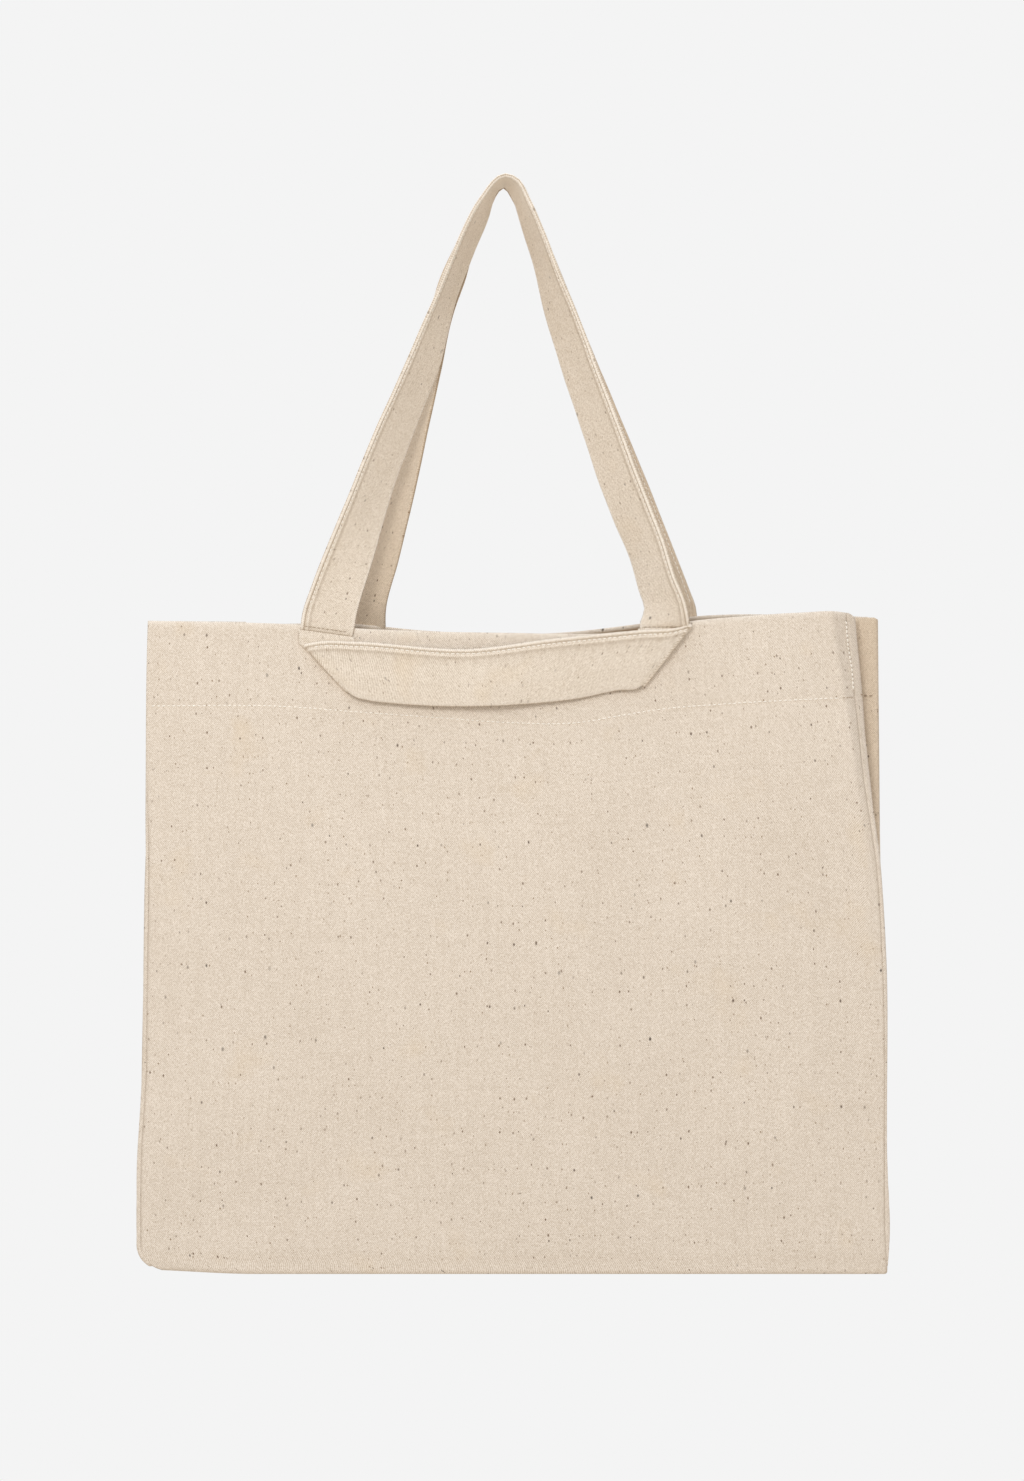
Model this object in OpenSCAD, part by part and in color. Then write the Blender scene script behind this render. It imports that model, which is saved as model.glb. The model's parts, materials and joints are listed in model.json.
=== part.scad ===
// Canvas tote bag hanging by its two long handles, with a short grip handle flopped down outside
// each side of the mouth. Millimetres, +Z up, front towards -Y. The origin is where a hook carries
// the long handles: the underside of their top.
//
// Every piece of one side is drawn as the front one. The back is its mirror in Y, and the right
// gusset is the left one's mirror in X. A panel is drawn in its own frame: u across, v up from
// the axis of the bottom fold, w outwards from that axis.

/* [Body] */
// Width of the bag at the bottom
body_bottom_w = 450; // [400:5:480]
// Width of the bag at the mouth
body_top_w = 438; // [400:2:470]
// Height from the bottom fold's axis to the mouth's corners
body_h = 389; // [340:1:430]
// How far the mouth's edge sags in the middle
mouth_sag = 7; // [0:0.5:12]
// Sideways offset of the body's middle from the hook
body_x = 4; // [-10:0.5:10]
// Thickness of the canvas
canvas_t = 0.8; // [0.6:0.05:0.9]
// Lean of each panel away from the upright
panel_lean = 1.5; // [1.4:0.1:2.5]
// Inside radius of the bottom fold
fold_r = 2.6; // [2.6:0.1:4]
// Radius of the body's lower corners
corner_r = 7; // [2:0.5:12]

/* [Gussets] */
// Width of one half of a gusset at the mouth, from side seam to crease
gusset_half_w = 60; // [50:1:80]
// What is left off along the crease, so that the two halves turn freely
crease_gap = 4; // [4:0.5:8]
// Width of a side seam's allowance inside the bag
allowance_w = 8; // [5:0.5:12]

/* [Hem] */
// Depth of the hem round the mouth
hem_d = 50; // [30:1:70]
// Width of the line that a row of stitching makes
thread_w = 0.5; // [0.3:0.05:0.8]

/* [Long handles] */
// Width of every strap
strap_w = 31; // [25:0.5:34]
// Thickness of every strap
strap_t = 1.8; // [1.2:0.1:2]
// Height of the hook above the bottom fold's axis
hook_h = 645.6; // [600:0.1:700]
// Outer edge of the front handle's left root, from the hook
front_left_x = 121.5; // [105:0.5:130]
// Outer edge of the front handle's right root, from the hook
front_right_x = 111.5; // [105:0.5:130]
// Outer edge of the back handle's left root, from the hook
back_left_x = 102.5; // [95:0.5:130]
// Outer edge of the back handle's right root, from the hook
back_right_x = 115.5; // [95:0.5:130]
// How far a long handle is turned about its own length at the top
strap_twist = 76; // [60:1:80]
// Height of the sewn strap ends, from the long handle's root down to the short one's
sewn_h = 6; // [4:0.5:10]
// Distance of the edge stitching from a strap's edge
edge_stitch = 2.5; // [2:0.1:5]

/* [Short handles] */
// Height of the short strap's bare end above its band
tab_h = 2.4; // [1:0.1:10]
// How far the folded corner runs in along the band
mitre_w = 28; // [20:1:31]
// How far the band sags in the middle
band_sag = 4; // [0:0.5:5]

/* [Hidden] */
bottom_half = body_bottom_w / 2;
top_half = body_top_w / 2;
panel_w0 = fold_r;
panel_w1 = fold_r + canvas_t;
lining_w0 = fold_r - canvas_t - 0.05;
seam_w = 1.5;
side_slant = atan((bottom_half - top_half) / body_h);
seam_len = sqrt(pow(body_h, 2) + pow(bottom_half - top_half, 2));
gusset_turn = asin((seam_w + body_h * tan(panel_lean)) / gusset_half_w);
crease_slope = (gusset_half_w - crease_gap - 1) / seam_len;
root_v = 383.6 + body_h - 389;
strap_w0 = panel_w1 + 0.4;
short_top_v = root_v - sewn_h - 0.6;
band_v = short_top_v - tab_h;
leg_n = 34;
row_n = 24;
row_low = (edge_stitch - thread_w / 2) / strap_w;
row_high = (edge_stitch + thread_w / 2) / strap_w;
outer_top = 8.1;
inner_top = 0.9;
strap_mid = strap_w0 + strap_t / 2;
drop = (hook_h - root_v) * cos(panel_lean) + strap_mid * sin(panel_lean);
root_y = strap_mid * cos(panel_lean) + root_v * sin(panel_lean);
top_y = 0.6 + strap_w * sin(strap_twist) / 2;
canvas = "#dccbb0";
strap = "#e0d0b6";
thread = "#f2e8d6";

// ---- frames ----

// The front panel's frame, with u along X, v along Z and w along -Y
module on_front() {
    translate([body_x, 0, -hook_h * cos(panel_lean)])
        rotate([panel_lean, 0, 0])
            children();
}

module on_back() {
    mirror([0, 1, 0])
        on_front()
            children();
}

// A flat ply of the given outline in (u, v), from w0 outwards
module ply(w0, t) {
    translate([0, -w0, 0])
        rotate([90, 0, 0])
            linear_extrude(height = t)
                children();
}

// The left gusset half's frame: X in from the side seam, Z along the seam, -Y into the bag
module on_gusset() {
    translate([-bottom_half, -seam_w, 0])
        rotate([0, side_slant, 0])
            rotate([0, 0, gusset_turn])
                children();
}

// ---- outlines ----

// The mouth edge's height at u, lower in the middle
function mouth_v(u) = body_h - mouth_sag * pow(cos(90 * u / top_half), 2);

// A band of the panel between two depths below the mouth, inset from its sides
module mouth_band(top, bottom, inset) {
    reach = top_half - inset;
    upper = [for (i = [0 : row_n]) let (u = -reach + 2 * reach * i / row_n) [u, mouth_v(u) - top]];
    lower = [for (i = [0 : row_n]) let (u = reach - 2 * reach * i / row_n) [u, mouth_v(u) - bottom]];
    polygon(concat(upper, lower));
}

module panel_outline(v0) {
    upper = [for (i = [0 : row_n]) let (u = top_half - 2 * top_half * i / row_n) [u, mouth_v(u)]];
    polygon(concat([
        [-bottom_half, v0 + corner_r],
        [-bottom_half + corner_r * 0.3, v0 + corner_r * 0.3],
        [-bottom_half + corner_r, v0],
        [bottom_half - corner_r, v0],
        [bottom_half - corner_r * 0.3, v0 + corner_r * 0.3],
        [bottom_half, v0 + corner_r]
    ], upper));
}

// ---- body ----

module panel(v0) {
    color(canvas)
        ply(panel_w0, canvas_t)
            panel_outline(v0);
}

module fold() {
    color(canvas)
        translate([body_x, 0, -hook_h * cos(panel_lean)])
            rotate([90, 0, 90])
                linear_extrude(height = body_bottom_w - 2 * corner_r, center = true)
                    difference() {
                        circle(r = panel_w1, $fn = 96);
                        circle(r = panel_w0, $fn = 96);
                        translate([-panel_w1 - 1, 0])
                            square([2 * panel_w1 + 2, panel_w1 + 1]);
                    }
}

module hem() {
    color(canvas)
        ply(lining_w0, canvas_t)
            mouth_band(0.4, hem_d + 2, 3);
}

module hem_stitching() {
    color(thread)
        ply(panel_w1 + 0.05, 0.35)
            mouth_band(hem_d - thread_w / 2, hem_d + thread_w / 2, 2);
}

// The overlocked edges of a side seam, laid against the panel inside the bag
module allowance() {
    color(canvas)
        ply(lining_w0, canvas_t)
            translate([-bottom_half, 0])
                rotate(-side_slant)
                    translate([3, corner_r])
                        square([allowance_w, body_h - hem_d - corner_r - 4]);
}

// ---- gussets ----

function crease_d(v) = 1 + crease_slope * v;

module gusset_half() {
    color(canvas)
        on_gusset()
            ply(-canvas_t / 2, canvas_t)
                polygon([
                    [0.5, corner_r],
                    [crease_d(corner_r), corner_r],
                    [crease_d(seam_len - 1), seam_len - 1],
                    [0.5, seam_len - 1]
                ]);
}

module gusset_hem() {
    low = seam_len - hem_d - 2;
    color(canvas)
        on_gusset()
            ply(canvas_t / 2 + 0.05, canvas_t)
                polygon([
                    [8, low],
                    [crease_d(low) - 2, low],
                    [crease_d(seam_len) - 2, seam_len - 1.5],
                    [8, seam_len - 1.5]
                ]);
}

// On the face that looks out of the bag, into the fold
module gusset_stitching() {
    row = seam_len - hem_d;
    color(thread)
        on_gusset()
            ply(-canvas_t / 2 - 0.4, 0.35)
                translate([3, row - thread_w / 2])
                    square([crease_d(row) - 6, thread_w]);
}

// ---- straps ----

// How far along an edge of a long handle lies a given drop, from 0 at the top to 1 at the root
function run(d, top, round_r) =
    sqrt(d * d + 2 * round_r * d) / sqrt(pow(drop + top, 2) + 2 * round_r * (drop + top));

// A point of an edge: s is the leg (-1 left, 1 right), f runs from 0 at the top to 1 at the root
function edge_point(s, f, x_root, top, round_r, bow) =
    let (d = (drop + top) * f * f, r = run(d, top, round_r))
    [s * x_root * r * (1 + bow * (1 - r)), top - d];

function twist_at(f) = strap_twist * (1 - exp(-pow(drop * (1 - f * f) / 78, 1.3)));

// The outer and the inner edge of the front long handle, each in 3D
function outer_edge(s, f, xs) =
    let (
        p = edge_point(s, f, s < 0 ? xs[0] : xs[1], outer_top, 30, 0.13),
        dy = strap_w * sin(twist_at(f))
    )
    [p[0], -(top_y + (root_y - top_y) * f * f) - dy / 2, p[1]];

function inner_edge(s, f, xs) =
    let (
        p = edge_point(s, f, (s < 0 ? xs[0] : xs[1]) - strap_w, inner_top, 12, 0.24),
        dy = strap_w * sin(twist_at(f))
    )
    [p[0], -(top_y + (root_y - top_y) * f * f) + dy / 2, p[1]];

// The stations from the left root over the top to the right root, as [leg, f]
stations = concat(
    [for (i = [leg_n : -1 : 1]) [-1, i / leg_n]],
    [for (i = [0 : leg_n]) [1, i / leg_n]]
);

function unit(v) = v / norm(v);

// Sections of the strap cut at the given shares of its width from the outer edge, between two
// heights above its middle surface. Each goes out along the low face and back along the high one.
function sections(xs, cuts, low, high) =
    let (
        n = len(stations),
        outer = [for (s = stations) outer_edge(s[0], s[1], xs)],
        inner = [for (s = stations) inner_edge(s[0], s[1], xs)],
        mid = [for (i = [0 : n - 1]) (outer[i] + inner[i]) / 2]
    )
    [for (i = [0 : n - 1])
        let (
            along = mid[min(i + 1, n - 1)] - mid[max(i - 1, 0)],
            flat = inner[i] - outer[i],
            up = unit(cross(along, flat)),
            line = [for (c = cuts) outer[i] + flat * c]
        )
        [
            for (p = line) p + up * low,
            for (k = [len(cuts) - 1 : -1 : 0]) line[k] + up * high
        ]];

// Joins the sections, which all have m corners, and closes both ends
module skin(rings) {
    n = len(rings);
    m = len(rings[0]);
    last = m * (n - 1);
    sides = [for (i = [0 : n - 2], j = [0 : m - 1])
        [m * i + j, m * i + (j + 1) % m, m * i + m + (j + 1) % m, m * i + m + j]];
    ends = [for (k = [0 : m / 2 - 2]) [k, m - 1 - k, m - 2 - k, k + 1]];
    far_ends = [for (e = ends) [last + e[3], last + e[2], last + e[1], last + e[0]]];
    quads = concat(sides, ends, far_ends);
    polyhedron(
        points = [for (r = rings, p = r) p],
        faces = [for (f = quads, k = [0, 1]) k == 0 ? [f[0], f[2], f[1]] : [f[0], f[3], f[2]]],
        convexity = 8
    );
}

module long_handle(xs) {
    color(strap)
        skin(sections(xs, [0, row_low, row_high, 1], -strap_t / 2, strap_t / 2));
}

// One row of stitching, seen on both faces of the strap
module long_handle_stitching(xs) {
    near = strap_t / 2 + 0.1;
    far = strap_t / 2 + 0.4;
    color(thread) {
        skin(sections(xs, [row_low, row_high], near, far));
        skin(sections(xs, [row_low, row_high], -far, -near));
    }
}

// The sewn end of the long and the short strap: x_edge is its outer edge, s the side
module strap_end(x_edge, s) {
    x0 = s < 0 ? -x_edge : x_edge - strap_w;
    color(strap)
        ply(panel_w1 + 0.1, strap_t)
            translate([x0 - body_x, root_v - 0.6 - sewn_h + 0.3])
                square([strap_w, sewn_h - 0.1]);
}

module root_stitching(xs) {
    color(thread)
        ply(panel_w1 + 0.1 + strap_t + 0.05, 0.35)
            for (x0 = [-xs[0], xs[1] - strap_w])
                translate([x0 - body_x + 1.5, root_v - 2.6])
                    square([strap_w - 3, thread_w]);
}

// The band's edge at x: its middle sags below its ends
function band_edge(x, x0, x1, v) = v - band_sag * sin(180 * (x - x0) / (x1 - x0));

// A strip of the band between two depths below its upper edge
module band_strip(xs, top, bottom, in) {
    x0 = -xs[0] - body_x;
    x1 = xs[1] - body_x;
    slope = mitre_w / strap_w;
    upper = [for (i = [0 : row_n])
        let (x = x0 + in + slope * top + (x1 - x0 - 2 * in - 2 * slope * top) * i / row_n)
        [x, band_edge(x, x0, x1, band_v - top)]];
    lower = [for (i = [row_n : -1 : 0])
        let (x = x0 + in + slope * bottom + (x1 - x0 - 2 * in - 2 * slope * bottom) * i / row_n)
        [x, band_edge(x, x0, x1, band_v - bottom)]];
    polygon(concat(upper, lower));
}

// The strap's end hanging straight down to the fold at the corner
module short_tab(xs, s) {
    x0 = s < 0 ? -xs[0] - body_x : xs[1] - body_x;
    low = band_edge(x0 - s * mitre_w, -xs[0] - body_x, xs[1] - body_x, band_v - strap_w);
    polygon([
        [x0, short_top_v],
        [x0 - s * strap_w, short_top_v],
        [x0 - s * strap_w, low],
        [x0 - s * mitre_w, low],
        [x0, band_v]
    ]);
}

module short_handle(xs) {
    color(strap)
        union() {
            ply(strap_w0 + strap_t, strap_t)
                band_strip(xs, 0, strap_w, 0);
            ply(strap_w0, strap_t) {
                short_tab(xs, -1);
                short_tab(xs, 1);
            }
        }
}

module short_handle_stitching(xs) {
    color(thread)
        ply(strap_w0 + 2 * strap_t + 0.05, 0.35)
            band_strip(xs, edge_stitch - thread_w / 2, edge_stitch + thread_w / 2, 2);
}

front_xs = [front_left_x, front_right_x];
back_xs = [back_left_x, back_right_x];

// ---- nodes ----

module front_panel() { on_front() panel(0.15); }
module bottom_fold() { fold(); }
module front_hem() { on_front() hem(); }
module front_hem_stitching() { on_front() hem_stitching(); }
module front_left_allowance() { on_front() allowance(); }
module front_right_allowance() { on_front() mirror([1, 0, 0]) allowance(); }
module front_left_strap_end() { on_front() strap_end(front_left_x, -1); }
module front_right_strap_end() { on_front() strap_end(front_right_x, 1); }
module front_root_stitching() { on_front() root_stitching(front_xs); }
module back_panel() { on_back() panel(1); }
module back_hem() { on_back() hem(); }
module back_hem_stitching() { on_back() hem_stitching(); }
module back_left_allowance() { on_back() allowance(); }
module back_right_allowance() { on_back() mirror([1, 0, 0]) allowance(); }
module back_left_strap_end() { on_back() strap_end(back_left_x, -1); }
module back_right_strap_end() { on_back() strap_end(back_right_x, 1); }
module back_root_stitching() { on_back() root_stitching(back_xs); }
module left_gusset_front() { on_front() gusset_half(); }
module left_gusset_front_hem() { on_front() gusset_hem(); }
module left_gusset_front_stitching() { on_front() gusset_stitching(); }
module left_gusset_back() { on_back() gusset_half(); }
module left_gusset_back_hem() { on_back() gusset_hem(); }
module left_gusset_back_stitching() { on_back() gusset_stitching(); }
module right_gusset_front() { on_front() mirror([1, 0, 0]) gusset_half(); }
module right_gusset_front_hem() { on_front() mirror([1, 0, 0]) gusset_hem(); }
module right_gusset_front_stitching() { on_front() mirror([1, 0, 0]) gusset_stitching(); }
module right_gusset_back() { on_back() mirror([1, 0, 0]) gusset_half(); }
module right_gusset_back_hem() { on_back() mirror([1, 0, 0]) gusset_hem(); }
module right_gusset_back_stitching() { on_back() mirror([1, 0, 0]) gusset_stitching(); }
module front_long_handle() { long_handle(front_xs); }
module front_long_handle_stitching() { long_handle_stitching(front_xs); }
module back_long_handle() { mirror([0, 1, 0]) long_handle(back_xs); }
module back_long_handle_stitching() { mirror([0, 1, 0]) long_handle_stitching(back_xs); }
module front_short_handle() { on_front() short_handle(front_xs); }
module front_short_handle_stitching() { on_front() short_handle_stitching(front_xs); }
module back_short_handle() { on_back() short_handle(back_xs); }
module back_short_handle_stitching() { on_back() short_handle_stitching(back_xs); }

front_panel();
bottom_fold();
front_hem();
front_hem_stitching();
front_left_allowance();
front_right_allowance();
front_left_strap_end();
front_right_strap_end();
front_root_stitching();
back_panel();
back_hem();
back_hem_stitching();
back_left_allowance();
back_right_allowance();
back_left_strap_end();
back_right_strap_end();
back_root_stitching();
left_gusset_front();
left_gusset_front_hem();
left_gusset_front_stitching();
left_gusset_back();
left_gusset_back_hem();
left_gusset_back_stitching();
right_gusset_front();
right_gusset_front_hem();
right_gusset_front_stitching();
right_gusset_back();
right_gusset_back_hem();
right_gusset_back_stitching();
front_long_handle();
front_long_handle_stitching();
back_long_handle();
back_long_handle_stitching();
front_short_handle();
front_short_handle_stitching();
back_short_handle();
back_short_handle_stitching();
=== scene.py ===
"""The looks of a canvas tote bag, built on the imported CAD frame.

Lengths are in millimetres until a mesh is made. x runs to the right, y to the back and z up.
"""

import json
import math

import bpy
import numpy as np
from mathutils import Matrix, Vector


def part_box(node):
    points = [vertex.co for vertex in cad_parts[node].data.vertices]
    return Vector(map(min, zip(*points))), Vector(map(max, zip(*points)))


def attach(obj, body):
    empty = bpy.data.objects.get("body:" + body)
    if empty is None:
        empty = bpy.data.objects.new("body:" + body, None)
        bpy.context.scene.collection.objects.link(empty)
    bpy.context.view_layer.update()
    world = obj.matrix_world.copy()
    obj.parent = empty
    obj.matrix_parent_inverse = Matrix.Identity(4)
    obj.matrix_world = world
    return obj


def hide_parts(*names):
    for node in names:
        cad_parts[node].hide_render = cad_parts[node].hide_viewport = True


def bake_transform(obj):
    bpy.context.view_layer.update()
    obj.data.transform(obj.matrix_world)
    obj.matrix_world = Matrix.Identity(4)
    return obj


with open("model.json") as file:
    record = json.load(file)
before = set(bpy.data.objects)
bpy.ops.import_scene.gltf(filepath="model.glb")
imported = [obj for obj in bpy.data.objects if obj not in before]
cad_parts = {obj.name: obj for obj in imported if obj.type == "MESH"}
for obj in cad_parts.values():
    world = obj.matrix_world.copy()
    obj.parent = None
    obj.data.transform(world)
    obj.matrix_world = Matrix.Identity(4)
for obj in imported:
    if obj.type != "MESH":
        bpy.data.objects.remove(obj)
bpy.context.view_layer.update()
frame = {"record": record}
rng = np.random.default_rng(7)

MM = 1000  # millimetres in a metre

# ---- places, from the CAD ----

joints = {j["name"]: j for j in frame["record"]["behaviour"]["joints"]}


def box(node):
    """The low and high corners of a node's box."""
    return [np.array(corner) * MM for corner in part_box(node)]


CLOTH = 0.8  # the canvas's thickness
HEM = 50.0
STRAP_T = 1.8
GUSSET_HALF = 60.0  # a gusset half's width at the mouth, from its seam to the crease
HINGE_Y = 1.5  # from the middle plane to a gusset half's hinge, at the bottom
LEAN = math.tan(math.radians(1.5))  # of each panel at rest
FOLD = np.array(joints["mouth_open"]["pos_m"]) * MM  # on the axis of the bottom fold
XC, Z0 = FOLD[0], FOLD[2]
panel_low, panel_high = box("front_panel")
fold_low, fold_high = box("bottom_fold")
hem_low, hem_high = box("front_hem")
end_low, end_high = box("front_left_strap_end")
ZM = panel_high[2]  # the mouth's corners
BODY_H = ZM - Z0
HALF_LOW = (panel_high[0] - panel_low[0]) / 2  # half the body's width at the bottom
HALF_TOP = (hem_high[0] - hem_low[0]) / 2 + 3  # and at the mouth, where the hem is 3 mm narrower on each side
FOLD_R = (fold_high[1] - fold_low[1]) / 2 - CLOTH / 2
STRAP_W = end_high[0] - end_low[0]
# of the angle between a gusset half and its panel
COT = 1 / math.tan(math.asin((HINGE_Y + BODY_H * LEAN) / GUSSET_HALF))

# ---- lines and curves ----


def curve(*points):
    """A smooth function through given points (x rising)."""
    xs, ys = np.array(points, float).T
    slope = np.gradient(ys, xs)

    def f(x):
        x = np.clip(np.asarray(x, float), xs[0], xs[-1])
        i = np.clip(np.searchsorted(xs, x) - 1, 0, len(xs) - 2)
        h = xs[i + 1] - xs[i]
        t = (x - xs[i]) / h
        return (
            (1 + 2 * t) * (1 - t) ** 2 * ys[i]
            + t * (1 - t) ** 2 * h * slope[i]
            + t * t * (3 - 2 * t) * ys[i + 1]
            + t * t * (t - 1) * h * slope[i + 1]
        )

    return f


def step(x, low, high):
    """0 up to low, 1 from high, and smooth between them."""
    t = np.clip((x - low) / (high - low), 0, 1)
    return t * t * (3 - 2 * t)


def bell(x, middle, width):
    """1 at the middle, and falling off smoothly over the width."""
    return np.exp(-(((x - middle) / width) ** 2))


def unit(vectors):
    return vectors / np.maximum(np.linalg.norm(vectors, axis=-1, keepdims=True), 1e-9)


def distances(line):
    """How far each point of a line is from its first one, along the line."""
    return np.concatenate([[0], np.cumsum(np.linalg.norm(np.diff(line, axis=0), axis=1))])


def resample(line, n):
    """n points evenly spaced along a line of points."""
    d = distances(line)
    even = np.linspace(0, d[-1], n)
    return np.stack([np.interp(even, d, line[:, k]) for k in range(line.shape[1])], 1)


def path(points, n):
    """n points evenly spaced along a smooth line through the given ones."""
    p = np.array(points, float)
    s = distances(p)
    fs = [curve(*zip(s, p[:, k])) for k in range(p.shape[1])]
    fine = np.stack([f(np.linspace(0, s[-1], 400)) for f in fs], 1)
    return resample(fine, n)


# ---- mesh making ----


def normals(grid):
    return unit(np.cross(np.gradient(grid, axis=0), np.gradient(grid, axis=1)))


def make(name, points, faces, cloth, *materials, second=()):
    """A smooth mesh. The faces in second are added to it in the second material."""
    mesh = bpy.data.meshes.new(name)
    mesh.from_pydata((np.asarray(points) / MM).tolist(), [], faces + list(second))
    at = mesh.attributes.new("cloth", "FLOAT_VECTOR", "POINT")
    at.data.foreach_set("vector", (np.asarray(cloth, np.float32) / MM).ravel())
    mesh.polygons.foreach_set("use_smooth", [True] * len(mesh.polygons))
    mesh.polygons.foreach_set("material_index", [0] * len(faces) + [1] * len(second))
    for material in materials:
        mesh.materials.append(material)
    mesh.validate()
    mesh.update()
    piece = bpy.data.objects.new(name, mesh)
    bpy.context.scene.collection.objects.link(piece)
    return piece


def quads(rows, cols, start=0, flip=False):
    """The faces of a grid of points."""
    i, j = np.meshgrid(np.arange(rows - 1), np.arange(cols - 1), indexing="ij")
    a = (start + i * cols + j).ravel()
    f = np.stack([a, a + 1, a + cols + 1, a + cols], 1)
    return (f[:, ::-1] if flip else f).tolist()


def tube(start, rings, sides):
    """The faces of a closed tube, from rings of points that follow each other."""
    faces = []
    for k in range(rings - 1):
        for m in range(sides):
            ring, nxt = start + k * sides, (m + 1) % sides
            faces.append([ring + m, ring + sides + m, ring + sides + nxt, ring + nxt])
    last = start + (rings - 1) * sides
    faces.append([start + m for m in range(sides)])
    faces.append([last + m for m in range(sides - 1, -1, -1)])
    return faces


def on_cloth(u, v, shape):
    """The place on the flat cloth of each point of a grid."""
    return np.stack([np.broadcast_to(u, shape), np.broadcast_to(v, shape)], 2)


RIM_ROUND = 0.8  # how far a rim stands out, as a share of half the thickness


def shell(name, mid, thick, cloth, material, painted_shading=0.0, rim_shade=0.0):
    """A closed sheet round the mid surface, with a rounded rim.

    cloth is (u, v) along the cloth. The painted light is above 0 where a highlight is painted on a fold,
    and below 0 where shade is painted where the cloth is drawn together. The rim's painted shade is added to
    it in the middle of the rim.
    """
    rows, cols = mid.shape[:2]
    size = rows * cols
    n = normals(mid)
    half = (np.broadcast_to(thick, (rows, cols)) / 2)[..., None]
    upper, lower = mid + n * half, mid - n * half
    loop = (
        [(0, j) for j in range(cols)]
        + [(i, cols - 1) for i in range(1, rows)]
        + [(rows - 1, j) for j in range(cols - 2, -1, -1)]
        + [(i, 0) for i in range(rows - 2, 0, -1)]
    )
    r, c = np.array(loop).T
    inner = mid[np.clip(r, 1, rows - 2), np.clip(c, 1, cols - 2)]
    rim = mid[r, c] + unit(mid[r, c] - inner) * half[r, c] * RIM_ROUND
    # the painted highlight and shade go with the cloth's place, and make() divides both by MM
    painted = np.broadcast_to(painted_shading, (rows, cols))[..., None] * MM
    flat = np.concatenate([cloth, painted], 2).reshape(-1, 3)
    ids = r * cols + c
    rim_cloth = flat[ids]
    rim_cloth[:, 2] += np.broadcast_to(rim_shade, (rows, cols))[r, c] * MM
    rim0 = 2 * size + np.arange(len(r))
    rim1, nxt = np.roll(rim0, -1), np.roll(ids, -1)
    faces = quads(rows, cols) + quads(rows, cols, size, True)
    faces += np.stack([ids, rim0, rim1, nxt], 1).tolist()
    faces += np.stack([size + nxt, rim1, rim0, size + ids], 1).tolist()
    points = np.concatenate([upper.reshape(-1, 3), lower.reshape(-1, 3), rim])
    return make(name, points, faces, np.concatenate([flat, flat, rim_cloth]), material)


# a stitch is a tube of six rings, given along it in shares of its length; its ends sink into the cloth
SIDES = 6
TURN = 2 * np.pi * np.arange(SIDES) / SIDES
RINGS = np.array([-1, -0.82, -0.3, 0.3, 0.82, 1]) / 2
RING_FAT = np.array([0.25, 0.8, 1, 1, 0.8, 0.25])
RING_LIFT = np.array([-0.5, 0.2, 0.9, 0.9, 0.2, -0.5])
# a needle's hole is a dark lens that lies in the cloth's face: painted shade in the hole
HOLE_LONG, HOLE_WIDE, HOLE_TOP, HOLE_RIM, HOLE_LOW = 0.36, 0.30, 0.07, 0.12, 0.2


def stitches(name, line, out, material, pitch=3.05, long=2.2, wide=0.8, high=0.42):
    """Single stitches along a line of points, raised along out (a vector for each point), and the
    needle's holes between them."""
    line, out = np.asarray(line, float), np.asarray(out, float)
    d = distances(line)
    places = np.arange(pitch, d[-1] - pitch * 0.6, pitch)
    places = places + rng.normal(0, 0.08, len(places))

    def pick(values, s):
        return np.stack([np.interp(s, d, values[:, k]) for k in range(3)], 1)

    points, faces, holes = [], [], []
    for s in places:
        size, tilt = rng.uniform(0.85, 1.08), rng.normal(0, 0.05)
        p = pick(line, s + RINGS * long * size)
        n = unit(pick(out, s + RINGS * long))
        t = unit(np.gradient(p, axis=0))
        b = np.cross(t, n)
        p = p + b * (RINGS * tilt * long)[:, None]
        faces += tube(len(points), len(RINGS), SIDES)
        for k in range(len(RINGS)):
            for a in TURN:
                up = n[k] * high * (RING_LIFT[k] + math.sin(a) * RING_FAT[k])
                beside = b[k] * math.cos(a) * wide / 2 * RING_FAT[k]
                points.append(p[k] + up + beside)
        hole = pick(line, [s + pitch / 2])[0]
        first, grow = len(points), rng.uniform(0.7, 1.2)
        for a in TURN:
            rim = t[-1] * math.cos(a) * HOLE_LONG + b[-1] * math.sin(a) * HOLE_WIDE
            points.append(hole - n[-1] * HOLE_RIM + rim * grow)
        points += [hole + n[-1] * HOLE_TOP, hole - n[-1] * HOLE_LOW]
        for m in range(SIDES):
            nxt = (m + 1) % SIDES
            holes.append([first + m, first + nxt, first + SIDES])
            holes.append([first + nxt, first + m, first + SIDES + 1])
    points = np.array(points)
    return make(name, points, faces, points, material, HOLE_SHADE, second=holes)


# ---- materials ----


def linear(r, g, b):
    """A colour for the nodes, from the 0 to 255 of a screen."""

    def one(c):
        return c / 12.92 if c <= 0.04045 else ((c + 0.055) / 1.055) ** 2.4

    return (one(r / 255), one(g / 255), one(b / 255), 1.0)


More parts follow.
